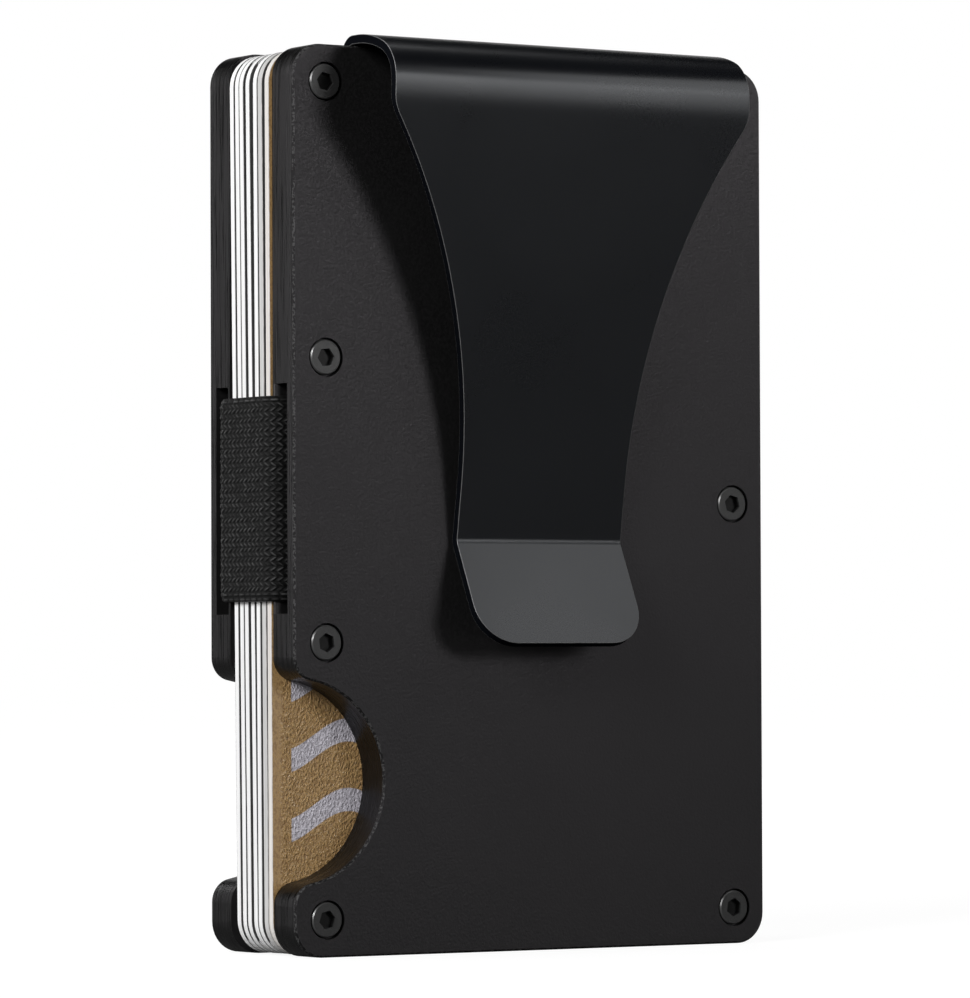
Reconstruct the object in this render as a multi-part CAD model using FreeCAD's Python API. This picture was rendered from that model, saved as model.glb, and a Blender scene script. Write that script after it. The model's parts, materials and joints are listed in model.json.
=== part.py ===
import FreeCAD, Part
import math
import os

# Minimalist wallet: two aluminium panels, each a face plate screwed to a pocketed inner
# plate, hold a stack of cards between them. A woven elastic loop runs through the pockets of
# both panels and round their long edges, and a sprung steel clip grips notes on the front.
#
# Frame, in millimetres: +X across the wallet, +Y from the front panel to the back one, +Z
# along the wallet. The origin is at the bottom, in the middle of the whole outline, so Y = 0
# lies between the clip's outermost point and the back face. Depths written as "behind the
# front face" are counted along +Y from the front face plate's outer face.

V = FreeCAD.Vector

# Panels
panel_width = 54.0
panel_height = 86.0
panel_corner_r = 3.0
face_thickness = 1.2
inner_thickness = 2.6
card_slot = 7.9
edge_chamfer = 0.2
panel_thickness = face_thickness + inner_thickness
wallet_depth = 2 * panel_thickness + card_slot

# Thumb notch, cut through both panels at one long edge
notch_r = 9.65
notch_x = -panel_width / 2 + 0.2
notch_z = 16.5
notch_mouth_r = 2.2

# Pocket for the elastic, open at both long edges of an inner plate
pocket_depth = 1.9
pocket_low_z = 32.3
pocket_high_z = 54.0
pocket_mid_z = (pocket_low_z + pocket_high_z) / 2
flange_round_r = 0.5

# Screws, a left column of four and a right column of three in each panel
screw_x = 23.42
screw_left_z = [3.53, 29.56, 56.44, 82.47]
screw_right_z = [3.53, pocket_mid_z, 82.47]
head_r = 1.66
head_height = 0.7
head_chamfer = 0.12
head_recess_r = 1.86
shank_r = 0.95
shank_length = 2.7
shank_clearance_r = 1.15
thread_r = 1.0
thread_depth = 2.3
socket_flats = 1.6
socket_depth = 0.55
socket_turns = [12, 37, 5, 51, 24, 44, 17]
back_socket_turn = 20
boss_r = 1.8
boss_root = 0.1

# Elastic loop
band_width = 19.4
band_thickness = 0.75
band_half_span = 28.15
band_corner_r = 1.5
band_flange_gap = 0.05
band_hole_r = 2.0

# Cards: the centre plane of each, behind the front face, at its lower and upper edge. The
# stack is loose, so the cards lean a little and their spacing is uneven. Each slides out in
# its own plane, so two neighbours' planes must not meet within a card's height above them.
card_width = 53.98
card_height = 85.6
card_thickness = 0.76
card_corner_r = 3.18
card_foot_z = 0.2
card_foot_depth = [4.25, 5.10, 6.08, 7.05, 8.05, 9.05, 10.05]
card_head_depth = [4.35, 5.55, 6.45, 7.95, 8.95, 9.85, 10.75]
card_foot_x = [-0.05, -0.02, -0.10, 0.00, -0.08, -0.03, -0.06]
card_head_x = [-0.30, -0.36, -0.34, -0.28, -0.38, -0.32, -0.35]

# Money clip, one bent steel strip: a foot held between the front plates, a crown over their
# top edge, a long tongue that leans back to the front face, and a lip that flares outwards
clip_thickness = 0.85
clip_width = 40.6
clip_rise = 1.0
clip_reach = 7.6
clip_back_bend_r = 1.5
clip_crown_r = 11.6
clip_crown_turn = 22.0
clip_front_bend_r = 3.6
clip_relax_r = 15.0
clip_rest_gap = 0.04
clip_lip_bend_z = 38.7
clip_lip_bend_r = 2.5
clip_lip_slope = 25.6
clip_lip_low_z = 29.4
clip_foot_clearance = 0.05
clip_flex_gap = 0.1
clip_neck_half = 9.42
clip_neck_z = 44.5
clip_waist_r = 63.4
clip_shoulder_r = 3.5
clip_lip_corner_r = 4.0
foot_low_z = 79.4
foot_ear_z = 84.6
foot_ear_half = 25.2
foot_ear_r = 0.8
foot_recess_gap = 0.2
foot_recess_depth = clip_thickness + 0.15
clip_relief_leg = 0.7

# How far a cutting shape reaches past the faces it cuts, and how close counts as the same place
overrun = 1.0
tolerance = 0.01

# Places along Y, worked out from the sizes above
front_y = clip_reach - (clip_reach + wallet_depth) / 2
back_y = front_y + wallet_depth
mid_y = (front_y + back_y) / 2
front_split_y = front_y + face_thickness
flange_y = front_split_y + pocket_depth
slot_front_y = front_y + panel_thickness


def prism(edges, y_low, depth):
    """Solid from an XZ outline drawn at Y = 0, pushed from y_low along +Y."""
    outline = Part.Wire(Part.sortEdges(edges)[0])
    face = Part.Face(outline)
    face.translate(V(0, y_low, 0))
    return face.extrude(V(0, depth, 0))


def box(x_low, x_high, y_low, y_high, z_low, z_high):
    size = (x_high - x_low, y_high - y_low, z_high - z_low)
    return Part.makeBox(size[0], size[1], size[2], V(x_low, y_low, z_low))


def rod(radius, y_low, y_high, x, z):
    return Part.makeCylinder(radius, y_high - y_low, V(x, y_low, z), V(0, 1, 0))


def edges_along(shape, direction, test):
    """Straight edges parallel to a direction, whose midpoint passes the test."""
    found = []
    for edge in shape.Edges:
        ends = [vertex.Point for vertex in edge.Vertexes]
        if len(ends) == 2 and isinstance(edge.Curve, Part.Line):
            along = (ends[1] - ends[0]).normalize()
            if abs(along.dot(direction)) > 0.999 and test((ends[0] + ends[1]) * 0.5):
                found.append(edge)
    return found


def rounded_slab(x_half, z_low, z_high, y_low, y_high, corner_r):
    slab = box(-x_half, x_half, y_low, y_high, z_low, z_high)
    corners = edges_along(slab, V(0, 1, 0), lambda point: True)
    return slab.makeFillet(corner_r, corners)


def panel_blank(y_low, y_high):
    """Plate outline with rounded corners and the thumb notch, its mouth rounded."""
    slab = rounded_slab(panel_width / 2, 0, panel_height, y_low, y_high, panel_corner_r)
    slab = slab.cut(rod(notch_r, y_low - overrun, y_high + overrun, notch_x, notch_z))
    mouth = edges_along(slab, V(0, 1, 0), is_notch_mouth)
    return slab.makeFillet(notch_mouth_r, mouth)


def is_notch_mouth(point):
    near_edge = point.x < -panel_width / 2 + tolerance
    return near_edge and abs(point.z - notch_z) < notch_r + tolerance


def screw_places():
    left = [(-screw_x, z) for z in screw_left_z]
    right = [(screw_x, z) for z in screw_right_z]
    return left + right


def outer_rim(plate, outer_y):
    """Edges round the plate's outer face, for its fine chamfer."""
    rim = []
    for edge in plate.Edges:
        ends = edge.BoundBox
        if abs(ends.YMin - outer_y) < tolerance and abs(ends.YMax - outer_y) < tolerance:
            rim.append(edge)
    return rim


def to_back(shape):
    """The same shape turned over into the back panel: mirrored front to back."""
    return shape.mirror(V(0, mid_y, 0), V(0, 1, 0))


def face_plate():
    """Outer plate of the front panel, with a counterbored hole for each screw."""
    plate = panel_blank(front_y, front_split_y)
    plate = plate.makeChamfer(edge_chamfer, outer_rim(plate, front_y))
    for x, z in screw_places():
        recess = rod(head_recess_r, front_y - overrun, front_y + head_height, x, z)
        hole = rod(shank_clearance_r, front_y, front_split_y + overrun, x, z)
        plate = plate.cut(recess).cut(hole)
    return plate


def front_face_plate():
    """Face plate whose top inner edge is cut back, so that the clip's bend clears it."""
    half = clip_width / 2 + foot_recess_gap
    leg = clip_relief_leg
    top_y = front_split_y
    corners = [V(-half, top_y, panel_height - leg), V(-half, top_y, panel_height)]
    corners.append(V(-half, top_y - leg, panel_height))
    wedge = Part.Face(Part.makePolygon(corners + [corners[0]]))
    return face_plate().cut(wedge.extrude(V(2 * half, 0, 0)))


def inner_plate():
    """Inner plate of the front panel: pocket for the elastic, blind holes for the screws."""
    reach = panel_width / 2 + overrun
    plate = panel_blank(front_split_y, slot_front_y)
    plate = plate.cut(box(-reach, reach, front_split_y - overrun, flange_y,
                          pocket_low_z, pocket_high_z))
    lip_edges = edges_along(plate, V(0, 0, 1), is_flange_corner)
    plate = plate.makeFillet(flange_round_r, lip_edges)
    boss_low = flange_y - band_flange_gap - band_thickness
    boss = rod(boss_r, boss_low, flange_y + boss_root, screw_x, pocket_mid_z)
    plate = plate.fuse(boss).removeSplitter()
    for x, z in screw_places():
        hole = rod(thread_r, front_split_y - overrun, front_split_y + thread_depth, x, z)
        plate = plate.cut(hole)
    return plate


def is_flange_corner(point):
    at_edge = abs(abs(point.x) - panel_width / 2) < tolerance
    at_pocket = abs(point.y - flange_y) < tolerance and pocket_low_z < point.z < pocket_high_z
    return at_edge and at_pocket


def foot_outline(grow, top_z):
    """XZ edges of the clip's foot: two ears, and a neck as wide as the crown above them."""
    neck = clip_width / 2 + grow
    ear = foot_ear_half + grow
    low = foot_low_z - grow
    high = foot_ear_z + grow
    points = [V(-neck, 0, top_z), V(-neck, 0, high), V(-ear, 0, high), V(-ear, 0, low)]
    points += [V(ear, 0, low), V(ear, 0, high), V(neck, 0, high), V(neck, 0, top_z)]
    return Part.makePolygon(points + [points[0]]).Edges


def front_inner_plate():
    """Inner plate with a shallow recess, open at the top edge, that holds the clip's foot."""
    outline = foot_outline(foot_recess_gap, panel_height + overrun)
    recess = prism(outline, front_split_y - overrun, foot_recess_depth + overrun)
    return inner_plate().cut(recess)


def screw(x, z, turn):
    """Flat-headed screw with a hex socket, its head flush with the front face plate."""
    head = rod(head_r, front_y, front_y + head_height, x, z)
    rim = [edge for edge in head.Edges if abs(edge.BoundBox.YMax - front_y) < tolerance]
    head = head.makeChamfer(head_chamfer, rim)
    shank = rod(shank_r, front_y + head_height, front_y + head_height + shank_length, x, z)
    corner_r = socket_flats / math.sqrt(3)
    corners = []
    for side in range(7):
        angle = math.radians(60 * side + turn)
        corners.append(V(x + corner_r * math.cos(angle), front_y, z + corner_r * math.sin(angle)))
    socket = Part.Face(Part.makePolygon(corners)).extrude(V(0, socket_depth, 0))
    return head.fuse(shank).cut(socket)


def elastic_band():
    """Closed loop through both pockets and round both long edges of the wallet."""
    low_z = pocket_mid_z - band_width / 2
    front_run_y = flange_y - band_flange_gap - band_thickness
    back_run_y = 2 * mid_y - front_run_y
    outer = loop_block(band_half_span, front_run_y, back_run_y, low_z, band_corner_r)
    inner_r = band_corner_r - band_thickness
    inner = loop_block(band_half_span - band_thickness, front_run_y + band_thickness,
                       back_run_y - band_thickness, low_z, inner_r)
    band = outer.cut(inner)
    hole = rod(band_hole_r, front_run_y - overrun, back_run_y + overrun, screw_x, pocket_mid_z)
    return band.cut(hole)


def loop_block(half_span, y_low, y_high, z_low, corner_r):
    block = box(-half_span, half_span, y_low, y_high, z_low, z_low + band_width)
    return block.makeFillet(corner_r, edges_along(block, V(0, 0, 1), lambda point: True))


def card(index):
    """Standard card, drawn upright at the origin and then leaned into its place."""
    blank = rounded_slab(card_width / 2, 0, card_height, -card_thickness / 2,
                         card_thickness / 2, card_corner_r)
    foot = V(card_foot_x[index], front_y + card_foot_depth[index], card_foot_z)
    head = V(card_head_x[index], front_y + card_head_depth[index], card_foot_z + card_height)
    up = (head - foot).normalize()
    lean = FreeCAD.Rotation(V(1, 0, 0), V(0, 1, 0), up, "ZXY")
    blank.Placement = FreeCAD.Placement(foot, lean)
    return blank


def strip_side(start, heading, steps, offset):
    """Edges of one side of a bent strip in the YZ plane, offset to the left of its centre line.

    Each step is (length, 0) for a straight run or (radius, turn in degrees) for a bend, a
    positive turn being to the left. The heading is in degrees from +Y towards +Z.
    """
    edges = []
    point = start
    for size, turn in steps:
        left = heading_vector(heading + 90)
        side_start = point + left * offset
        if turn == 0:
            point = point + heading_vector(heading) * size
            edges.append(Part.makeLine(side_start, point + left * offset))
        else:
            hand = math.copysign(1, turn)
            centre = point + left * (size * hand)
            side_r = size - offset * hand
            middle = centre + heading_vector(heading + turn / 2 - 90 * hand) * side_r
            end = centre + heading_vector(heading + turn - 90 * hand) * side_r
            edges.append(Part.Arc(side_start, middle, end).toShape())
            heading += turn
            point = centre + heading_vector(heading - 90 * hand) * size
    return edges


def heading_vector(heading):
    angle = math.radians(heading)
    return V(0, math.cos(angle), math.sin(angle))


def bent_strip(start, heading, steps):
    """Strip of the clip's thickness and full width that follows the steps."""
    half = clip_thickness / 2
    left = strip_side(start, heading, steps, half)
    right = strip_side(start, heading, steps, -half)
    caps = []
    for first, second, end in ((left[0], right[0], 0), (left[-1], right[-1], -1)):
        caps.append(Part.makeLine(first.Vertexes[end].Point, second.Vertexes[end].Point))
    outline = Part.Wire(Part.sortEdges(left + right + caps)[0])
    face = Part.Face(outline)
    face.translate(V(-clip_width / 2, 0, 0))
    return face.extrude(V(clip_width, 0, 0))


def clip_path():
    """Lengths and turns of the clip's centre line: the foot's steps, then the tongue's."""
    half = clip_thickness / 2
    foot_y = front_split_y + clip_foot_clearance + half
    top_z = panel_height + clip_rise - half
    crown = math.radians(clip_crown_turn)
    front_mid_y = front_y - clip_reach + half
    bend_centre_y = front_mid_y + clip_front_bend_r
    bend_centre_z = top_z - clip_crown_r + (clip_crown_r - clip_front_bend_r) * math.cos(crown)
    crown_end_y = bend_centre_y - clip_front_bend_r * math.sin(crown)
    crown_start_y = crown_end_y + clip_crown_r * math.sin(crown)
    crown_run = foot_y - clip_back_bend_r - crown_start_y

    # Below the front bend a gentler one leans the tongue back. The centre line of the tongue
    # is tangent to that gentle bend and passes the lip bend's corner.
    corner_y = front_y - clip_rest_gap - half
    away_y = front_mid_y + clip_relax_r - corner_y
    away_z = bend_centre_z - clip_lip_bend_z
    away = math.hypot(away_y, away_z)
    lean = math.asin(clip_relax_r / away) - math.atan2(away_y, away_z)
    tangent_run = math.sqrt(away ** 2 - clip_relax_r ** 2)

    lean_turn = math.degrees(lean)
    lip_turn = clip_lip_slope + lean_turn
    lip_cut = clip_lip_bend_r * math.tan(math.radians(lip_turn) / 2)
    lip_run = (clip_lip_bend_z - clip_lip_low_z) / math.cos(math.radians(clip_lip_slope))
    foot_rise = top_z - clip_back_bend_r - foot_low_z
    half_run = (crown_run - clip_flex_gap) / 2
    foot_steps = [(foot_rise, 0), (clip_back_bend_r, 90), (half_run, 0)]
    tongue_steps = [(half_run, 0), (clip_crown_r, clip_crown_turn)]
    tongue_steps.append((clip_front_bend_r, 90 - clip_crown_turn))
    tongue_steps.append((clip_relax_r, lean_turn))
    tongue_steps.append((tangent_run - lip_cut, 0))
    tongue_steps.append((clip_lip_bend_r, -lip_turn))
    tongue_steps.append((lip_run - lip_cut, 0))
    tongue_start = V(0, crown_start_y + half_run, top_z)
    return V(0, foot_y, foot_low_z), foot_steps, tongue_start, tongue_steps


def tongue_outline():
    """XZ edges of the clip's front view: wide at the crown, waisted to a narrow lip."""
    wide = clip_width / 2
    neck = clip_neck_half
    low = clip_lip_low_z - overrun
    high = panel_height + clip_rise + overrun
    centre_x = neck + clip_waist_r
    reach = math.acos(1 - (wide - neck) / clip_waist_r)
    shoulder_z = clip_neck_z + clip_waist_r * math.sin(reach)
    middle_x = centre_x - clip_waist_r * math.cos(reach / 2)
    middle_z = clip_neck_z + clip_waist_r * math.sin(reach / 2)
    edges = []
    for side in (-1, 1):
        shoulder = V(side * wide, 0, shoulder_z)
        waist = V(side * neck, 0, clip_neck_z)
        middle = V(side * middle_x, 0, middle_z)
        edges.append(Part.makeLine(V(side * wide, 0, high), shoulder))
        edges.append(Part.Arc(shoulder, middle, waist).toShape())
        edges.append(Part.makeLine(waist, V(side * neck, 0, low)))
    edges.append(Part.makeLine(V(-neck, 0, low), V(neck, 0, low)))
    edges.append(Part.makeLine(V(-wide, 0, high), V(wide, 0, high)))
    return edges


def clip_foot():
    """Foot with two ears under the top screws, up to the middle of the crown."""
    start, steps, _, _ = clip_path()
    neck = bent_strip(start, 90, steps)
    front = front_split_y + clip_foot_clearance
    ears = box(-foot_ear_half, foot_ear_half, front, front + clip_thickness,
               foot_low_z, foot_ear_z)
    ears = ears.makeFillet(foot_ear_r, edges_along(ears, V(0, 1, 0), lambda point: True))
    foot = neck.fuse(ears).removeSplitter()
    for side in (-1, 1):
        hole = rod(shank_clearance_r, front_y, slot_front_y, side * screw_x, screw_left_z[-1])
        foot = foot.cut(hole)
    return foot


def clip_tongue():
    """Crown, tongue and lip, cut to the waisted front view with rounded corners."""
    _, _, start, steps = clip_path()
    strip = bent_strip(start, 180, steps)
    depth = clip_reach + face_thickness + 2 * overrun
    cutter = prism(tongue_outline(), front_y - clip_reach - overrun, depth)
    shoulders = edges_along(cutter, V(0, 1, 0), is_shoulder)
    cutter = cutter.makeFillet(clip_shoulder_r, shoulders)
    tongue = strip.common(cutter)
    lip_ends = [edge for edge in tongue.Edges if is_lip_corner(edge)]
    return tongue.makeFillet(clip_lip_corner_r, lip_ends)


def is_shoulder(point):
    at_side = abs(abs(point.x) - clip_width / 2) < tolerance
    return at_side and point.z < panel_height


def is_lip_corner(edge):
    """Short edges through the thickness at the lip's two lower corners."""
    ends = edge.BoundBox
    at_side = abs(abs(ends.Center.x) - clip_neck_half) < tolerance and ends.XLength < tolerance
    is_short = edge.Length < clip_thickness + tolerance
    return at_side and is_short and ends.ZMax < clip_lip_bend_z - clip_lip_corner_r


def build():
    parts = {
        "front_face_plate": front_face_plate(),
        "front_inner_plate": front_inner_plate(),
        "back_face_plate": to_back(face_plate()),
        "back_inner_plate": to_back(inner_plate()),
        "clip_foot": clip_foot(),
        "clip_tongue": clip_tongue(),
        "elastic_band": elastic_band(),
    }
    for number, (place, turn) in enumerate(zip(screw_places(), socket_turns), start=1):
        parts["front_screw_%d" % number] = screw(place[0], place[1], turn)
        parts["back_screw_%d" % number] = to_back(screw(place[0], place[1], turn + back_socket_turn))
    for index in range(len(card_foot_depth)):
        parts["card_%d" % (index + 1)] = card(index)
    return parts


os.makedirs("parts", exist_ok=True)
for name, shape in build().items():
    shape.exportStep("parts/%s.step" % name)
    extent = shape.BoundBox
    print("%-18s solids %d valid %s  X %.2f..%.2f  Y %.2f..%.2f  Z %.2f..%.2f  V %.1f" % (
        name, len(shape.Solids), shape.isValid(), extent.XMin, extent.XMax,
        extent.YMin, extent.YMax, extent.ZMin, extent.ZMax, shape.Volume))
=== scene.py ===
import json
import math

import bmesh
import bpy
from mathutils import Matrix, Quaternion, Vector, noise


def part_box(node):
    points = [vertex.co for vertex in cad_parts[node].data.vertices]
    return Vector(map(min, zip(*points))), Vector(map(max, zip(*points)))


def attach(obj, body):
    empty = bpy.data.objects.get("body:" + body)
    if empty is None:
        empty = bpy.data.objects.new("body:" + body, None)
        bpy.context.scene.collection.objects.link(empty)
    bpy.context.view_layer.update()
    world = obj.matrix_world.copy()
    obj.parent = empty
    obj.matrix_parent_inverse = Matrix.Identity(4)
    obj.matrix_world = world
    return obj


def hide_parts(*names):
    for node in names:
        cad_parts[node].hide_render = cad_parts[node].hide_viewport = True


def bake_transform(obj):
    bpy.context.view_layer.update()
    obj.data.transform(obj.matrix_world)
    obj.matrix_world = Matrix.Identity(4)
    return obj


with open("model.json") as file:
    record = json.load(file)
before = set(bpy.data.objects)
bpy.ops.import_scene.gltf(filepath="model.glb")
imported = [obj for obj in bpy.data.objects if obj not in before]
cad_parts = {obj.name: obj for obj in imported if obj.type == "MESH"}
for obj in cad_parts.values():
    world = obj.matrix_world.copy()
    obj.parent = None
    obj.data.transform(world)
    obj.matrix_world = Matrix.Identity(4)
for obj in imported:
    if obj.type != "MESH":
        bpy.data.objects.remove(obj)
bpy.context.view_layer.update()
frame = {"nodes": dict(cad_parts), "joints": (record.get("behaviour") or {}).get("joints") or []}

# Looks of the minimalist wallet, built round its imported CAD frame. Lengths are in metres, in the
# frame's own axes: +X across the wallet, +Y from the front panel to the back one, +Z upwards.
MM = 0.001

# Camera, at the photograph's viewing angle: in front, far to the left, level with the notch
camera_place = Vector((-314.5, -478.15, 27.8)) * MM
camera_aim = Vector((-3.5, -0.7, 43.4)) * MM
camera_roll = math.radians(-0.2)
camera_lens_mm = 213.35
camera_sensor_mm = 36.0
camera_near = 0.01
camera_far = 20.0

# Stage
floor_half = 3.0
floor_colour = (0.15, 0.15, 0.15, 1.0)
floor_glow_near = 0.90
floor_glow_far = 1.0
floor_near = 0.10
floor_far = 0.45

# Soft lights: name, direction from the wallet, distance, width, height, and power in watts
softboxes = (
    ("key", (0.395, -0.887, 0.242), 0.8, 0.20, 0.18, 0.69),
    ("key_low", (0.5425, -0.8355, 0.087), 0.8, 0.12, 0.12, 0.11),
    ("lip_glint", (0.0658, -0.0681, 0.0713), 0.1185, 0.05, 0.05, 0.012),
    ("top", (0.1, 0.2, 1.0), 0.7, 0.5, 0.3, 1.16),
    ("left", (-1.0, 0.6, 0.15), 0.6, 0.4, 0.5, 2.2),
    ("left_front", (-0.8, -0.4, 0.42), 0.8, 0.3, 0.3, 5.4),
    ("right", (1.0, 0.3, 0.2), 0.8, 0.3, 0.6, 1.2),
    ("back", (0.5, 0.82, 0.15), 0.8, 0.4, 0.4, 0.3),
    ("back_key", (0.0, 1.0, 0.25), 0.8, 0.2, 0.2, 0.6),
)

# Clip, one bent strip: foot between the front plates, crown, tongue and lip
clip_thickness = 0.85 * MM
clip_back_bend_r = 1.5 * MM
clip_crown_r = 11.6 * MM
clip_crown_turn = 22.0
clip_front_bend_r = 3.6 * MM
clip_relax_r = 15.0 * MM
clip_rest_gap = 0.04 * MM
clip_lip_bend_z = 39.15 * MM
clip_lip_bend_r = 1.6 * MM
clip_lip_slope = 25.6
clip_lip_low_z = 29.3 * MM
clip_neck_half = 9.42 * MM
clip_neck_z = 44.5 * MM
clip_waist_r = 63.4 * MM
clip_shoulder_r = 3.5 * MM
clip_lip_corner_r = 4.0 * MM
clip_ear_high_z = 84.6 * MM
clip_ear_corner_r = 0.8 * MM
clip_ear_corner_steps = 4
clip_hole_r = 1.15 * MM
clip_edge_r = 0.16 * MM
clip_edge_segments = 3
clip_edge_angle = 50.0
clip_row_gap = 0.8 * MM
clip_bend_step = 4.0
clip_corner_rows = 10
clip_columns = 16

# Elastic loop and its herringbone weave
band_thickness = 0.75 * MM
band_corner_r = 2.1 * MM
band_inner_r = 0.75 * MM
band_inner_inset = 0.12 * MM
band_hole_r = 2.0 * MM
band_hole_sides = 48
band_edge_run = 0.9 * MM
band_edge_drop = 0.35 * MM
band_hidden_gap = 2.0 * MM
weave_cell = 0.085 * MM
weave_depth = 0.16 * MM
weave_row = 0.47 * MM
weave_pitch = 0.72 * MM
weave_lean = 0.9
weave_crest_power = 0.7
weave_end_power = 0.45
weave_variety = 0.28
# Painted sheen on the weave: its half width across a stroke, and how it fades towards the stroke's
# ends
sheen_half = 0.3
sheen_end_power = 0.6
selvedge_rows = 2
selvedge_pitch = 1.05 * MM

# Cards: a plastic core between two thin printed laminates
card_width = 53.98 * MM
card_height = 85.6 * MM
card_thickness = 0.76 * MM
card_corner_r = 3.18 * MM
card_laminate = 0.06 * MM
# Width of the dark strip along a card face's sides: painted shade for the gaps between cards
card_gap_shade = 0.7 * MM
card_gold_rim = 0.9 * MM
card_gold_margin = 2.0 * MM
card_edge_r = 0.03 * MM
card_corner_steps = 10
card_count = 7

# Screw sockets: depths below the face at which their painted shade starts and is full
socket_shade_start = 0.15 * MM
socket_shade_full = 0.3 * MM


# ---------------------------------------------------------------- frame measures

face_low, face_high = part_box("front_face_plate")
back_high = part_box("back_face_plate")[1]
foot_low, foot_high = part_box("clip_foot")
tongue_low, tongue_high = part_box("clip_tongue")
band_low, band_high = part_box("elastic_band")
screw_low, screw_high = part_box("front_screw_4")
boss_low, boss_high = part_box("front_screw_6")

# What the lights aim at, and the depth half way between the two panels' outsides
middle = Vector((0, 0, face_high.z / 2))
middle_y = (face_low.y + back_high.y) / 2


# ---------------------------------------------------------------- material nodes

class Paint:
    """One material's nodes. A socket is fed a number, a colour or another node's output."""

    def __init__(self, name, surface):
        self.material = bpy.data.materials.new(name)
        self.material.use_nodes = True
        self.tree = self.material.node_tree
        self.surface = self.tree.nodes["Principled BSDF"]
        for socket, value in surface.items():
            self.set(socket, value)

    def feed(self, socket, value):
        if isinstance(value, bpy.types.NodeSocket):
            self.tree.links.new(value, socket)
        else:
            socket.default_value = value

    def node(self, kind, inputs, output=0, **settings):
        made = self.tree.nodes.new(kind)
        for name, value in settings.items():
            setattr(made, name, value)
        for socket, value in inputs.items():
            self.feed(made.inputs[socket], value)
        return made.outputs[output]

    def set(self, name, value):
        """Feeds one of the surface's own inputs."""
        self.feed(self.surface.inputs[name], value)

    def place(self, stretch=(1, 1, 1), turn=(0, 0, 0)):
        """Place on the object in millimetres, turned and then stretched along each axis."""
        point = self.node("ShaderNodeTexCoord", {}, "Object")
        factors = [value / MM for value in stretch]
        return self.node("ShaderNodeMapping", {0: point, 2: turn, 3: factors}, vector_type="POINT")

    def axis(self, vector, letter):
        """One part of a vector, named X, Y or Z."""
        return self.node("ShaderNodeSeparateXYZ", {0: vector}, letter)

    def facing_y(self):
        """1 where the surface faces front or back, 0 on walls and edges."""
        normal = self.node("ShaderNodeTexCoord", {}, "Normal")
        return self.math("ABSOLUTE", self.axis(normal, "Y"))

    def math(self, operation, first, second=0.0):
        return self.node("ShaderNodeMath", {0: first, 1: second}, operation=operation)

    def noise(self, place, scale, detail=2.0, distortion=0.0):
        """Noise from 0 to 1, with about this many patches to the millimetre."""
        inputs = {"Vector": place, "Scale": scale, "Detail": detail, "Distortion": distortion}
        return self.node("ShaderNodeTexNoise", inputs)

    def step(self, value, low, high, to_low=0.0, to_high=1.0):
        """Smooth step of value from to_low, at low, to to_high, at high."""
        inputs = {0: value, 1: low, 2: high, 3: to_low, 4: to_high}
        return self.node("ShaderNodeMapRange", inputs, interpolation_type="SMOOTHSTEP")

    def mix(self, share, first, second):
        """Mix of two colours. The node's sockets are numbered, since each data type has its own."""
        inputs = {0: share, 6: first, 7: second}
        return self.node("ShaderNodeMix", inputs, 2, data_type="RGBA")

    def blend_values(self, share, first, second):
        """Mix of two plain values."""
        return self.node("ShaderNodeMix", {0: share, 2: first, 3: second})

    def wave(self, place, turn_per_mm, height_mm):
        """Height up the card in millimetres, bent into a sine wave across it."""
        angle = self.math("MULTIPLY", self.axis(place, "X"), turn_per_mm)
        swell = self.math("MULTIPLY", self.math("SINE", angle), height_mm)
        return self.math("ADD", self.axis(place, "Z"), swell)

    def colour(self, value):
        self.set("Base Color", value)

    def roughness(self, value):
        self.set("Roughness", value)

    def bump(self, height, strength, depth):
        inputs = {"Height": height, "Strength": strength, "Distance": depth}
        self.set("Normal", self.node("ShaderNodeBump", inputs))


def grey(value, warmth=0.0):
    return (value * (1 + warmth), value, value * (1 - warmth), 1.0)


# ---------------------------------------------------------------- materials

def anodised(name, dark, light, worn_and_highlight, blast_depth):
    """Black anodised aluminium: bead-blasted faces, chamfers paler in specks (wear and a painted
    highlight), walls with cutter marks and painted shade.
    """
    paint = Paint(name, {"Specular Tint": (1.0, 0.95, 1.0, 1.0)})
    place = paint.place()
    facing = paint.facing_y()
    flat = paint.step(facing, 0.85, 0.98)
    wall = paint.step(facing, 0.1, 0.45, 1.0, 0.0)
    chamfer = paint.math("SUBTRACT", paint.math("SUBTRACT", 1.0, flat), wall)

    blast = paint.noise(place, 3.6, 3.0)
    marks = paint.noise(paint.place((0.12, 7.0, 0.12)), 1.0, 3.0)
    cloud = paint.noise(place, 0.09, 2.0)
    specks = paint.step(paint.noise(place, 4.5, 2.0), 0.46, 0.6)

    tint = paint.mix(cloud, dark, light)
    tint = paint.mix(paint.step(blast, 0.35, 0.75), tint, light)
    # Chamfers paler in specks: partly edge wear, partly a painted edge highlight.
    tint = paint.mix(chamfer, tint, paint.mix(specks, dark, worn_and_highlight))
    # Walls painted near black: painted shade, which keeps the notch's walls dark.
    paint.colour(paint.mix(wall, tint, grey(0.003)))
    shine = paint.blend_values(wall, 0.5, 0.28)
    paint.set("Specular IOR Level", paint.blend_values(chamfer, shine, 0.2))

    rough = paint.step(blast, 0.3, 0.7, 0.38, 0.48)
    wall_rough = paint.step(marks, 0.3, 0.7, 0.2, 0.48)
    rough = paint.blend_values(wall, rough, wall_rough)
    paint.roughness(paint.blend_values(chamfer, rough, 0.58))
    paint.bump(paint.blend_values(wall, blast, marks), 0.5, blast_depth)
    return paint.material


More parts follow.
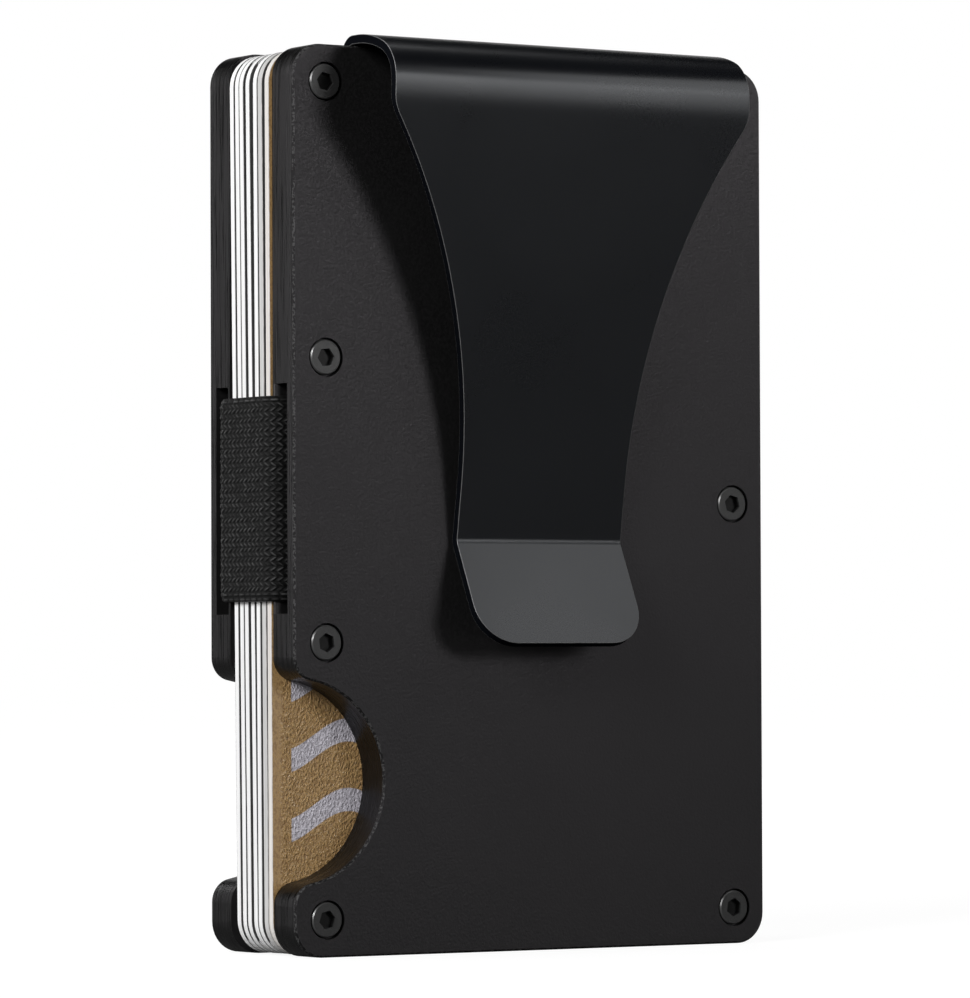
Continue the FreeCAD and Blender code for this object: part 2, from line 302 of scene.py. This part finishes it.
def coated_steel(name, dark, light, shine, coat, roughness):
    """Smooth satin coating on the spring steel, with a faint ripple and fine dust."""
    paint = Paint(name, {"Specular Tint": (0.93, 0.96, 1.0, 1.0), "Coat Roughness": 0.2})
    paint.set("Specular IOR Level", shine)
    paint.set("Coat Weight", coat)
    place = paint.place()
    cloud = paint.noise(place, 0.05, 3.0)
    fine = paint.noise(place, 9.0, 2.0)
    ripple = paint.noise(place, 1.6, 2.0)
    paint.colour(paint.mix(cloud, dark, light))
    smear = paint.step(cloud, 0.3, 0.7, roughness, roughness + 0.05)
    paint.roughness(paint.math("ADD", smear, paint.math("MULTIPLY", fine, 0.05)))
    paint.bump(paint.math("ADD", ripple, fine), 0.12, 0.004 * MM)
    return paint.material


def screw_metal(name):
    """Black oxide on a turned head, brighter on its chamfer, with painted shade inside the socket."""
    paint = Paint(name, {"Metallic": 0.6, "Specular IOR Level": 0.5})
    place = paint.place()
    fine = paint.noise(place, 8.0, 2.0)
    facing = paint.facing_y()
    sloped = paint.step(facing, 0.2, 0.6)
    chamfer = paint.math("MULTIPLY", sloped, paint.step(facing, 0.85, 0.95, 1.0, 0.0))
    tint = paint.mix(fine, grey(0.045), grey(0.07))
    tint = paint.mix(chamfer, tint, grey(0.12))
    from_middle = paint.math("SUBTRACT", paint.axis(place, "Y"), middle_y / MM)
    reach = paint.math("ABSOLUTE", from_middle)
    head_y = middle_y - face_low.y
    full_mm = (head_y - socket_shade_full) / MM
    start_mm = (head_y - socket_shade_start) / MM
    # Painted shade: metal deeper than the head's face, inside the socket, is painted near black.
    socket = paint.step(reach, full_mm, start_mm, 1.0, 0.0)
    paint.colour(paint.mix(socket, tint, grey(0.008)))
    paint.roughness(paint.step(fine, 0.3, 0.7, 0.3, 0.42))
    paint.bump(fine, 0.3, 0.01 * MM)
    return paint.material


def woven_elastic(name):
    """Black polyester yarn with dark fibres; the paler grey along the crests of the weave is a painted
    sheen.
    """
    paint = Paint(name, {"Sheen Weight": 0.03, "Sheen Roughness": 0.4, "Specular IOR Level": 0.12})
    fibres = paint.noise(paint.place((3.0, 3.0, 9.0)), 1.0, 3.0)
    patch = paint.noise(paint.place(), 1.1, 2.0)
    painted_sheen = paint.node("ShaderNodeAttribute", {}, "Fac", attribute_name="painted_sheen")
    crest = paint.step(painted_sheen, 0.1, 0.7)
    sheen_share = paint.math("MULTIPLY", crest, paint.step(patch, 0.3, 0.6, 0.5))
    yarn = paint.mix(paint.step(fibres, 0.4, 0.75), grey(0.002), grey(0.005))
    # Painted sheen: the crests are painted pale grey, as if they caught the light.
    paint.colour(paint.mix(sheen_share, yarn, grey(0.058)))
    paint.roughness(paint.step(fibres, 0.3, 0.7, 0.5, 0.68))
    paint.bump(fibres, 0.6, 0.03 * MM)
    return paint.material


def card_core(name, colour, layer_colour):
    """Cut edge of a card: pressed sheets of plastic, faintly layered and scuffed."""
    paint = Paint(name, {"Specular IOR Level": 0.4})
    layers = paint.noise(paint.place((0.05, 9.0, 0.05)), 1.0, 2.0)
    scuffs = paint.noise(paint.place((0.6, 3.0, 0.6)), 1.0, 3.0)
    tint = paint.mix(paint.step(layers, 0.4, 0.62), layer_colour, colour)
    paint.colour(paint.mix(paint.step(scuffs, 0.6, 0.8), tint, layer_colour))
    paint.roughness(paint.step(scuffs, 0.3, 0.7, 0.42, 0.6))
    paint.bump(scuffs, 0.3, 0.01 * MM)
    return paint.material


def stripes(paint, height, half_mm, soft_mm, spacing_mm):
    """1 inside stripes repeated up the card, 0 between them, with soft edges."""
    offset = paint.math("PINGPONG", height, spacing_mm / 2)
    return paint.step(offset, half_mm - soft_mm, half_mm + soft_mm, 1.0, 0.0)


def gold_card(name):
    """Gold card face: embossed leather grain under pale wavy ribbons, smooth along its rim."""
    paint = Paint(name, {"Specular IOR Level": 0.8})
    place = paint.place()
    grain = paint.noise(paint.place((1.0, 1.0, 0.75), (0.0, 0.9, 0.0)), 4.6, 1.5, 0.5)
    folds = paint.step(grain, 0.3, 0.62)
    cloud = paint.noise(place, 0.16, 2.0)
    rim_mm = (card_width / 2 - card_gold_rim) / MM
    margin_mm = (card_width / 2 - card_gold_margin) / MM
    across = paint.math("ABSOLUTE", paint.axis(place, "X"))
    rim = paint.step(across, rim_mm - 0.5, rim_mm + 0.3)
    deep_gold = (0.47, 0.29, 0.115, 1)
    pale_gold = (0.56, 0.36, 0.16, 1)
    fold_gold = (0.34, 0.195, 0.075, 1)
    fold_lilac = (0.50, 0.47, 0.52, 1)
    pale_lilac = (0.72, 0.69, 0.76, 1)
    gold = paint.mix(folds, fold_gold, paint.mix(cloud, deep_gold, pale_gold))
    lilac = paint.mix(folds, fold_lilac, pale_lilac)
    inside = paint.step(across, margin_mm - 0.05, margin_mm + 0.05, 1.0, 0.0)
    ribbons = stripes(paint, paint.wave(place, 0.42, 1.5), 1.1, 0.06, 6.6)
    paint.colour(paint.mix(paint.math("MULTIPLY", ribbons, inside), gold, lilac))
    paint.roughness(paint.step(grain, 0.3, 0.7, 0.44, 0.26))
    paint.bump(paint.blend_values(rim, grain, 0.5), 1.0, 0.2 * MM)
    return paint.material


def printed_card(name, paper, ink):
    """Printed card face: fine waves on a pale ground, with a dark strip along both sides that is
    painted shade for the gaps between cards.
    """
    paint = Paint(name, {"Specular IOR Level": 0.5, "Coat Weight": 0.2, "Coat Roughness": 0.15})
    place = paint.place()
    lines = stripes(paint, paint.wave(place, 0.21, 3.1), 0.1, 0.03, 1.2)
    cloud = paint.noise(place, 0.05, 2.0)
    dust = paint.noise(place, 6.0, 2.0)
    ground = paint.mix(paint.math("MULTIPLY", cloud, 0.2), paper, ink)
    printed = paint.mix(paint.math("MULTIPLY", lines, 0.5), ground, ink)
    gap_shade_mm = (card_width / 2 - card_gap_shade) / MM
    across = paint.math("ABSOLUTE", paint.axis(place, "X"))
    gap_shade = paint.step(across, gap_shade_mm - 0.05, gap_shade_mm + 0.05)
    # Painted shade: a dark strip along the sides, so the gaps between stacked cards look dark.
    paint.colour(paint.mix(gap_shade, printed, grey(0.07)))
    paint.roughness(paint.step(dust, 0.3, 0.7, 0.3, 0.42))
    paint.bump(dust, 0.15, 0.006 * MM)
    return paint.material


def clear_laminate(name, colour):
    """Thin printed overlay seen edge on."""
    paint = Paint(name, {"Specular IOR Level": 0.5})
    fine = paint.noise(paint.place((0.8, 2.0, 0.8)), 1.0, 2.0)
    dark = tuple(0.6 * value for value in colour[:3]) + (1.0,)
    paint.colour(paint.mix(paint.step(fine, 0.35, 0.65), dark, colour))
    paint.roughness(paint.step(fine, 0.3, 0.7, 0.3, 0.45))
    return paint.material


# ---------------------------------------------------------------- mesh helpers

def finish_mesh(bm, name):
    """Mesh from a bmesh, with its faces turned outwards."""
    bmesh.ops.recalc_face_normals(bm, faces=bm.faces)
    mesh = bpy.data.meshes.new(name)
    bm.to_mesh(mesh)
    bm.free()
    return mesh


def place_object(name, data):
    made = bpy.data.objects.new(name, data)
    bpy.context.scene.collection.objects.link(made)
    return made


def make_piece(name, mesh, materials):
    piece = place_object(name, mesh)
    for material in materials:
        mesh.materials.append(material)
    return piece


def add_grid(bm, rows, closed=False):
    """Quads between successive rows of vertices; closed joins each row's end to its start."""
    for lower, upper in zip(rows, rows[1:]):
        count = len(lower)
        for index in range(count if closed else count - 1):
            after = (index + 1) % count
            bm.faces.new((lower[index], lower[after], upper[after], upper[index]))


def settle(piece):
    """Replaces the piece's mesh by the one its modifiers give, so that it is final."""
    graph = bpy.context.evaluated_depsgraph_get()
    mesh = bpy.data.meshes.new_from_object(piece.evaluated_get(graph))
    piece.modifiers.clear()
    piece.data = mesh


def smooth(mesh):
    mesh.polygons.foreach_set("use_smooth", [True] * len(mesh.polygons))


# ---------------------------------------------------------------- money clip

def heading_vector(heading):
    angle = math.radians(heading)
    return Vector((0, math.cos(angle), math.sin(angle)))


def clip_steps():
    """Start of the clip's centre line, and its runs (length, 0) and bends (radius, turn)."""
    half = clip_thickness / 2
    foot_y = foot_high.y - half
    top_z = tongue_high.z - half
    crown = math.radians(clip_crown_turn)
    front_mid_y = tongue_low.y + half
    bend_centre_y = front_mid_y + clip_front_bend_r
    bend_centre_z = top_z - clip_crown_r + (clip_crown_r - clip_front_bend_r) * math.cos(crown)
    crown_end_y = bend_centre_y - clip_front_bend_r * math.sin(crown)
    crown_start_y = crown_end_y + clip_crown_r * math.sin(crown)

    # Below the front bend a gentler one leans the tongue back: the tongue is tangent to it
    # and passes the lip bend's corner
    away_y = front_mid_y + clip_relax_r - (face_low.y - clip_rest_gap - half)
    away_z = bend_centre_z - clip_lip_bend_z
    away = math.hypot(away_y, away_z)
    lean = math.degrees(math.asin(clip_relax_r / away) - math.atan2(away_y, away_z))
    tangent_run = math.sqrt(away ** 2 - clip_relax_r ** 2)
    lip_turn = clip_lip_slope + lean
    lip_cut = clip_lip_bend_r * math.tan(math.radians(lip_turn) / 2)
    lip_run = (clip_lip_bend_z - clip_lip_low_z) / math.cos(math.radians(clip_lip_slope))
    steps = [(top_z - clip_back_bend_r - foot_low.z, 0), (clip_back_bend_r, 90)]
    steps.append((foot_y - clip_back_bend_r - crown_start_y, 0))
    steps.append((clip_crown_r, clip_crown_turn))
    steps.append((clip_front_bend_r, 90 - clip_crown_turn))
    steps.append((clip_relax_r, lean))
    steps.append((tangent_run - lip_cut, 0))
    steps.append((clip_lip_bend_r, -lip_turn))
    steps.append((lip_run - lip_cut, 0))
    return Vector((0, foot_y, foot_low.z)), steps


def waist_half(z):
    """Half the tongue's width at a height: straight shoulder, fillet, waist curve, neck."""
    wide = tongue_high.x
    centre_x = clip_neck_half + clip_waist_r
    fillet_x = wide - clip_shoulder_r
    reach = clip_waist_r + clip_shoulder_r
    fillet_z = clip_neck_z + math.sqrt(reach ** 2 - (centre_x - fillet_x) ** 2)
    meet_z = clip_neck_z + (fillet_z - clip_neck_z) * clip_waist_r / reach
    if z >= fillet_z:
        return wide
    if z > meet_z:
        return fillet_x + math.sqrt(clip_shoulder_r ** 2 - (z - fillet_z) ** 2)
    if z > clip_neck_z:
        return centre_x - math.sqrt(clip_waist_r ** 2 - (z - clip_neck_z) ** 2)
    return clip_neck_half


def half_width(place):
    """Half width where the strip passes a place: the foot and crown are as wide as the shoulder."""
    behind_face = place.y > face_low.y
    return tongue_high.x if behind_face else waist_half(place.z)


def clip_rows():
    """Centre point and half width of each row across the clip, from the foot to the lip's end."""
    start, steps = clip_steps()
    heading = 90.0
    points = [start]
    for number, (size, turn) in enumerate(steps):
        point = points[-1]
        if turn == 0:
            run = size - (clip_lip_corner_r if number == len(steps) - 1 else 0)
            count = math.ceil(run / clip_row_gap)
            forward = heading_vector(heading)
            points += [point + forward * (run * k / count) for k in range(1, count + 1)]
        else:
            hand = math.copysign(1, turn)
            centre = point + heading_vector(heading + 90 * hand) * size
            count = math.ceil(abs(turn) / clip_bend_step) + 2
            for k in range(1, count + 1):
                arm = heading_vector(heading + turn * k / count - 90 * hand)
                points.append(centre + arm * size)
            heading += turn
    rows = [(point, half_width(point)) for point in points]
    forward = heading_vector(heading)
    for k in range(1, clip_corner_rows + 1):
        angle = math.pi / 2 * (1 - k / clip_corner_rows)
        point = points[-1] + forward * (clip_lip_corner_r * math.cos(angle))
        rows.append((point, clip_neck_half - clip_lip_corner_r * (1 - math.sin(angle))))
    return rows


def ear_corner(z, start_angle):
    """Quarter turn of the ear's outline round a corner's centre at a height."""
    r = clip_ear_corner_r
    x = foot_high.x - r
    points = []
    for k in range(clip_ear_corner_steps + 1):
        angle = math.radians(start_angle + 90 * k / clip_ear_corner_steps)
        points.append((x + r * math.cos(angle), z + r * math.sin(angle)))
    return points


def add_ear(bm, side):
    """Hidden ear of the foot: quads between its outline and a ring for the screw hole.

    Known fault: the ring lies at the screw of the other end.
    """
    near = tongue_high.x
    far = foot_high.x
    low = foot_low.z
    high = clip_ear_high_z
    hole_x = (screw_low.x + screw_high.x) / 2
    hole_z = (screw_low.z + screw_high.z) / 2
    half_x = (near + hole_x) / 2
    outline = [(near, low), (half_x, low), (hole_x, low)]
    outline += ear_corner(low + clip_ear_corner_r, -90) + [(far, hole_z)]
    outline += ear_corner(high - clip_ear_corner_r, 0) + [(hole_x, high), (half_x, high), (near, high)]
    outline += [(near, (hole_z + high) / 2), (near, hole_z), (near, (low + hole_z) / 2)]
    foot_y = foot_high.y - clip_thickness / 2
    rims = [[], []]
    for x, z in outline:
        angle = math.atan2(z - hole_z, x - hole_x)
        hole = (hole_x + clip_hole_r * math.cos(angle), hole_z + clip_hole_r * math.sin(angle))
        rims[0].append(bm.verts.new((side * x, foot_y, z)))
        rims[1].append(bm.verts.new((side * hole[0], foot_y, hole[1])))
    add_grid(bm, rims, closed=True)


def make_clip(face, cut, arris):
    """Clip's bent sheet, thickened, with a material for its faces, cut edges and arrises, the arrises
    painted pale as a highlight.
    """
    materials = [face, cut, arris]
    bm = bmesh.new()
    rows = []
    for place, half in clip_rows():
        columns = [half * (2 * k / clip_columns - 1) for k in range(clip_columns + 1)]
        rows.append([bm.verts.new((x, place.y, place.z)) for x in columns])
    add_grid(bm, rows)
    for side in (-1, 1):
        add_ear(bm, side)
    mesh = finish_mesh(bm, "money_clip")
    smooth(mesh)
    clip = make_piece("money_clip", mesh, materials)
    shell = clip.modifiers.new("thickness", "SOLIDIFY")
    shell.thickness = clip_thickness
    shell.offset = 0
    shell.material_offset_rim = materials.index(cut)
    edges = clip.modifiers.new("edges", "BEVEL")
    edges.width = clip_edge_r
    edges.segments = clip_edge_segments
    edges.limit_method = "ANGLE"
    edges.angle_limit = math.radians(clip_edge_angle)
    edges.harden_normals = True
    # The bevels take the arris material, painted pale as a highlight.
    edges.material = materials.index(arris)
    settle(clip)
    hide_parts("clip_foot", "clip_tongue")
    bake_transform(clip)


# ---------------------------------------------------------------- elastic band

def loop_corners(inset, radius):
    """Centres of the loop's four rounded corners, for an outline drawn in by the inset."""
    x = band_high.x - inset - radius
    low = band_low.y + inset + radius
    high = band_high.y - inset - radius
    return [Vector((x, low, 0)), Vector((x, high, 0)), Vector((-x, high, 0)), Vector((-x, low, 0))]


def band_profile():
    """Stops round the loop: outer place, inner place, way out, distance along, share of weave."""
    outer = loop_corners(0, band_corner_r)
    inner = loop_corners(band_thickness, band_inner_r)
    quarter = band_corner_r * math.pi / 2
    turn_count = math.ceil(quarter / weave_cell)
    stops = []
    along = 0.0
    for number in range(4):
        for k in range(turn_count + 1):
            angle = math.pi / 2 * (number - 1 + k / turn_count)
            out = Vector((math.cos(angle), math.sin(angle), 0))
            places = (outer[number] + out * band_corner_r, inner[number] + out * band_inner_r)
            stops.append((*places, out, along + quarter * k / turn_count, 1.0))
        along += quarter
        after = (number + 1) % 4
        ends = (outer[after] + out * band_corner_r, inner[after] + out * band_inner_r)
        run = (ends[0] - places[0]).length
        woven = abs(out.x) > abs(out.y)
        count = math.ceil(run / (weave_cell if woven else band_hidden_gap))
        for k in range(1, count):
            between = [first.lerp(last, k / count) for first, last in zip(places, ends)]
            stops.append((*between, out, along + run * k / count, 1.0 if woven else 0.0))
        along += run
    return stops


def weave(along, across, height):
    """Height of the yarn, and the strength of the painted sheen on it, 0 to 1, at a place along and
    across.
    """
    row = math.floor(across / weave_row)
    last_row = math.floor(height / weave_row)
    in_row = across / weave_row - row
    at_edge = row < selvedge_rows or row > last_row - selvedge_rows
    pitch = selvedge_pitch if at_edge else weave_pitch
    lean = 0 if at_edge else (1 if row % 2 else -1) * weave_lean
    phase = along / pitch + lean * in_row
    stroke = math.floor(phase)

    # The selvedge's threads run along the band, the other threads run across their row
    line, run = (in_row, phase - stroke) if at_edge else (phase - stroke, in_row)
    ends = math.sin(math.pi * run)
    chance = 1 - weave_variety + weave_variety * noise.cell(Vector((stroke, row, 0.5)))
    crest = math.sin(math.pi * line) ** weave_crest_power * ends ** weave_end_power * chance
    # Second value: the painted sheen, strongest along the middle of a stroke
    nearness = max(0.0, 1 - abs(line - 0.5) / sheen_half)
    return crest, nearness * ends ** sheen_end_power * chance


def band_section(outer, inner, out, along, share):
    """Ring of (point, painted sheen) round the band's thickness at one stop, outer face first."""
    height = band_high.z - band_low.z
    count = math.ceil(height / weave_cell)
    ring = []
    for k in range(count + 1):
        across = height * k / count
        crest, painted_sheen = weave(along, across, height)
        round_off = max(0.0, 1 - min(across, height - across) / band_edge_run)
        drop = band_edge_drop * (1 - math.sqrt(max(0.0, 1 - round_off ** 2)))
        drop += share * weave_depth * (1 - crest)
        ring.append((outer - out * drop + Vector((0, 0, band_low.z + across)), share * painted_sheen))
    for across in (height - band_inner_inset, height * 2 / 3, height / 3, band_inner_inset):
        ring.append((inner + Vector((0, 0, band_low.z + across)), 0.0))
    return ring


def cut_boss_hole(band):
    """Cuts the hole for the front panel's boss through the loop's front and back runs."""
    bm = bmesh.new()
    place = Matrix.Translation(((boss_low.x + boss_high.x) / 2, 0, (boss_low.z + boss_high.z) / 2))
    turned = place @ Matrix.Rotation(math.pi / 2, 4, "X")
    depth = 2 * (band_high.y - band_low.y)
    bmesh.ops.create_cone(bm, cap_ends=True, segments=band_hole_sides, radius1=band_hole_r,
                          radius2=band_hole_r, depth=depth, matrix=turned)
    cutter = place_object("boss_cutter", finish_mesh(bm, "boss_cutter"))
    hole = band.modifiers.new("boss_hole", "BOOLEAN")
    hole.object = cutter
    hole.solver = "EXACT"
    settle(band)
    bpy.data.objects.remove(cutter)


def make_band(material):
    bm = bmesh.new()
    # Vertex layer for the strength of the painted sheen on the weave's crests
    painted_sheen_layer = bm.verts.layers.float.new("painted_sheen")
    rings = []
    for stop in band_profile():
        ring = []
        for point, painted_sheen in band_section(*stop):
            vertex = bm.verts.new(point)
            vertex[painted_sheen_layer] = painted_sheen
            ring.append(vertex)
        rings.append(ring)
    rings.append(rings[0])
    add_grid(bm, rings, closed=True)
    mesh = finish_mesh(bm, "elastic_loop")
    smooth(mesh)
    band = make_piece("elastic_loop", mesh, [material])
    cut_boss_hole(band)
    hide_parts("elastic_band")
    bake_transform(band)


# ---------------------------------------------------------------- cards

def card_outline(inset):
    """Rounded outline of a card in its own plane, centred, drawn in by the inset."""
    r = card_corner_r - inset
    half_x = card_width / 2 - card_corner_r
    half_z = card_height / 2 - card_corner_r
    points = []
    for x, z, start in ((1, 1, 0), (-1, 1, 90), (-1, -1, 180), (1, -1, 270)):
        for k in range(card_corner_steps + 1):
            angle = math.radians(start + 90 * k / card_corner_steps)
            points.append((x * half_x + r * math.cos(angle), z * half_z + r * math.sin(angle)))
    return points


def card_placement(number):
    """Where the frame holds a card: its middle, and its lean along the way it slides."""
    low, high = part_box("card_%d" % number)
    joint = next(j for j in frame["joints"] if j["name"] == "card_%d_slide" % number)
    up = Vector(joint["axis"]).normalized()
    across = (Vector((1, 0, 0)) - up * up.x).normalized()
    lean = Matrix((across, up.cross(across), up)).transposed()
    return Matrix.Translation((low + high) / 2) @ lean.to_4x4()


def make_card(number, materials):
    """Card of stacked layers; materials are its front face, back face, laminates and core."""
    half = card_thickness / 2
    levels = [(-half, card_edge_r), (-half + card_edge_r, 0), (-half + card_laminate, 0)]
    levels += [(half - card_laminate, 0), (half - card_edge_r, 0), (half, card_edge_r)]
    front, back, laminate, core = range(len(materials))
    layer_materials = [laminate, laminate, core, laminate, laminate]
    bm = bmesh.new()
    loops = []
    for y, inset in levels:
        loops.append([bm.verts.new((x, y, z)) for x, z in card_outline(inset)])
    for level in range(len(loops) - 1):
        known = set(bm.faces)
        add_grid(bm, loops[level:level + 2], closed=True)
        for face in set(bm.faces) - known:
            face.material_index = layer_materials[level]
    bm.faces.new(loops[0]).material_index = front
    bm.faces.new(loops[-1]).material_index = back
    bm.transform(card_placement(number))
    name = "printed_card_%d" % number
    card = make_piece(name, finish_mesh(bm, name), materials)
    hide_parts("card_%d" % number)
    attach(card, "sliding_card_%d" % number)


# ---------------------------------------------------------------- stage, lights, camera

def add_floor():
    """Pale floor that glows for the camera, so that it meets the white room without an edge."""
    bm = bmesh.new()
    corners = ((-1, -1), (1, -1), (1, 1), (-1, 1))
    bm.faces.new([bm.verts.new((floor_half * x, floor_half * y, 0)) for x, y in corners])
    mesh = bpy.data.meshes.new("floor")
    bm.to_mesh(mesh)
    bm.free()
    floor = place_object("floor", mesh)
    surface = {"Base Color": floor_colour, "Roughness": 0.9, "Specular IOR Level": 0.1}
    paint = Paint("floor", surface)
    seen = paint.node("ShaderNodeLightPath", {}, "Is Camera Ray")
    point = paint.node("ShaderNodeTexCoord", {}, "Object")
    distance = paint.node("ShaderNodeVectorMath", {0: point}, "Value", operation="LENGTH")
    glow = paint.step(distance, floor_near, floor_far, floor_glow_near, floor_glow_far)
    paint.set("Emission Color", grey(1.0))
    paint.set("Emission Strength", paint.math("MULTIPLY", seen, glow))
    mesh.materials.append(paint.material)


def light_room():
    """White room, seen by the camera and shining no light on the object."""
    world = bpy.data.worlds.new("room")
    world.use_nodes = True
    bpy.context.scene.world = world
    tree = world.node_tree
    seen = tree.nodes.new("ShaderNodeLightPath")
    background = tree.nodes["Background"]
    background.inputs["Color"].default_value = grey(1.0)
    tree.links.new(seen.outputs["Is Camera Ray"], background.inputs["Strength"])


def add_softbox(name, direction, distance, width, height, power):
    """Rectangular light at a distance from the face plate's middle, aimed at it."""
    data = bpy.data.lights.new(name, "AREA")
    data.shape = "RECTANGLE"
    data.size = width
    data.size_y = height
    data.energy = power
    light = place_object(name, data)
    away = Vector(direction).normalized()
    light.location = middle + away * distance
    light.rotation_mode = "QUATERNION"
    light.rotation_quaternion = (-away).to_track_quat("-Z", "Y")
    light.visible_camera = False


def add_camera():
    data = bpy.data.cameras.new("camera")
    data.lens = camera_lens_mm
    data.sensor_width = camera_sensor_mm
    data.clip_start = camera_near
    data.clip_end = camera_far
    camera = place_object("camera", data)
    camera.location = camera_place
    look = (camera_aim - camera_place).to_track_quat("-Z", "Y")
    camera.rotation_mode = "QUATERNION"
    camera.rotation_quaternion = look @ Quaternion((0, 0, 1), camera_roll)
    bpy.context.scene.camera = camera


# ---------------------------------------------------------------- the wallet

def paint_nodes(prefixes, material):
    for name, node in frame["nodes"].items():
        if name.startswith(prefixes):
            node.data.materials.clear()
            node.data.materials.append(material)


# The third colour is the chamfers': edge wear with a painted edge highlight.
face_metal = anodised("panel_face", grey(0.005), grey(0.010), grey(0.06), 0.045 * MM)
inner_metal = anodised("panel_inner", grey(0.004), grey(0.008), grey(0.012), 0.012 * MM)
paint_nodes(("front_face_plate", "back_face_plate"), face_metal)
paint_nodes(("front_inner_plate", "back_inner_plate"), inner_metal)
paint_nodes(("front_screw", "back_screw"), screw_metal("screw_steel"))
black_coating = ((0.003, 0.0035, 0.005, 1), (0.005, 0.0055, 0.007, 1))
# Pale arris colours: a painted highlight along the clip's bevelled edges.
highlight_coating = (grey(0.10), grey(0.18))
satin = {"shine": 0.55, "coat": 0.25, "roughness": 0.24}
matt = {"shine": 0.0, "coat": 0.0, "roughness": 0.5}
clip_face = coated_steel("clip_steel", *black_coating, **satin)
clip_cut = coated_steel("clip_cut_edge", *black_coating, **matt)
clip_arris = coated_steel("clip_arris_painted_highlight", *highlight_coating, **satin)
make_clip(clip_face, clip_cut, clip_arris)
make_band(woven_elastic("elastic"))

white_core = card_core("card_core_white", grey(0.92), grey(0.82))
cream_core = card_core("card_core_cream", grey(0.78, 0.03), grey(0.62, 0.06))
grey_core = card_core("card_core_grey", grey(0.62, 0.01), grey(0.52, 0.01))
dark_laminate = clear_laminate("card_laminate_dark", grey(0.06))
pale_laminate = clear_laminate("card_laminate_pale", grey(0.50, 0.04))
gold_face = gold_card("card_gold")
pale_face = printed_card("card_white", grey(0.72), grey(0.45))
grey_face = printed_card("card_grey", grey(0.42, 0.01), grey(0.2))
make_card(1, [gold_face, pale_face, pale_laminate, cream_core])
make_card(2, [grey_face, pale_face, pale_laminate, grey_core])
for number in range(3, card_count + 1):
    make_card(number, [pale_face, pale_face, dark_laminate, white_core])

add_floor()
light_room()
for softbox in softboxes:
    add_softbox(*softbox)
add_camera()
bpy.context.scene.view_settings.view_transform = "Standard"
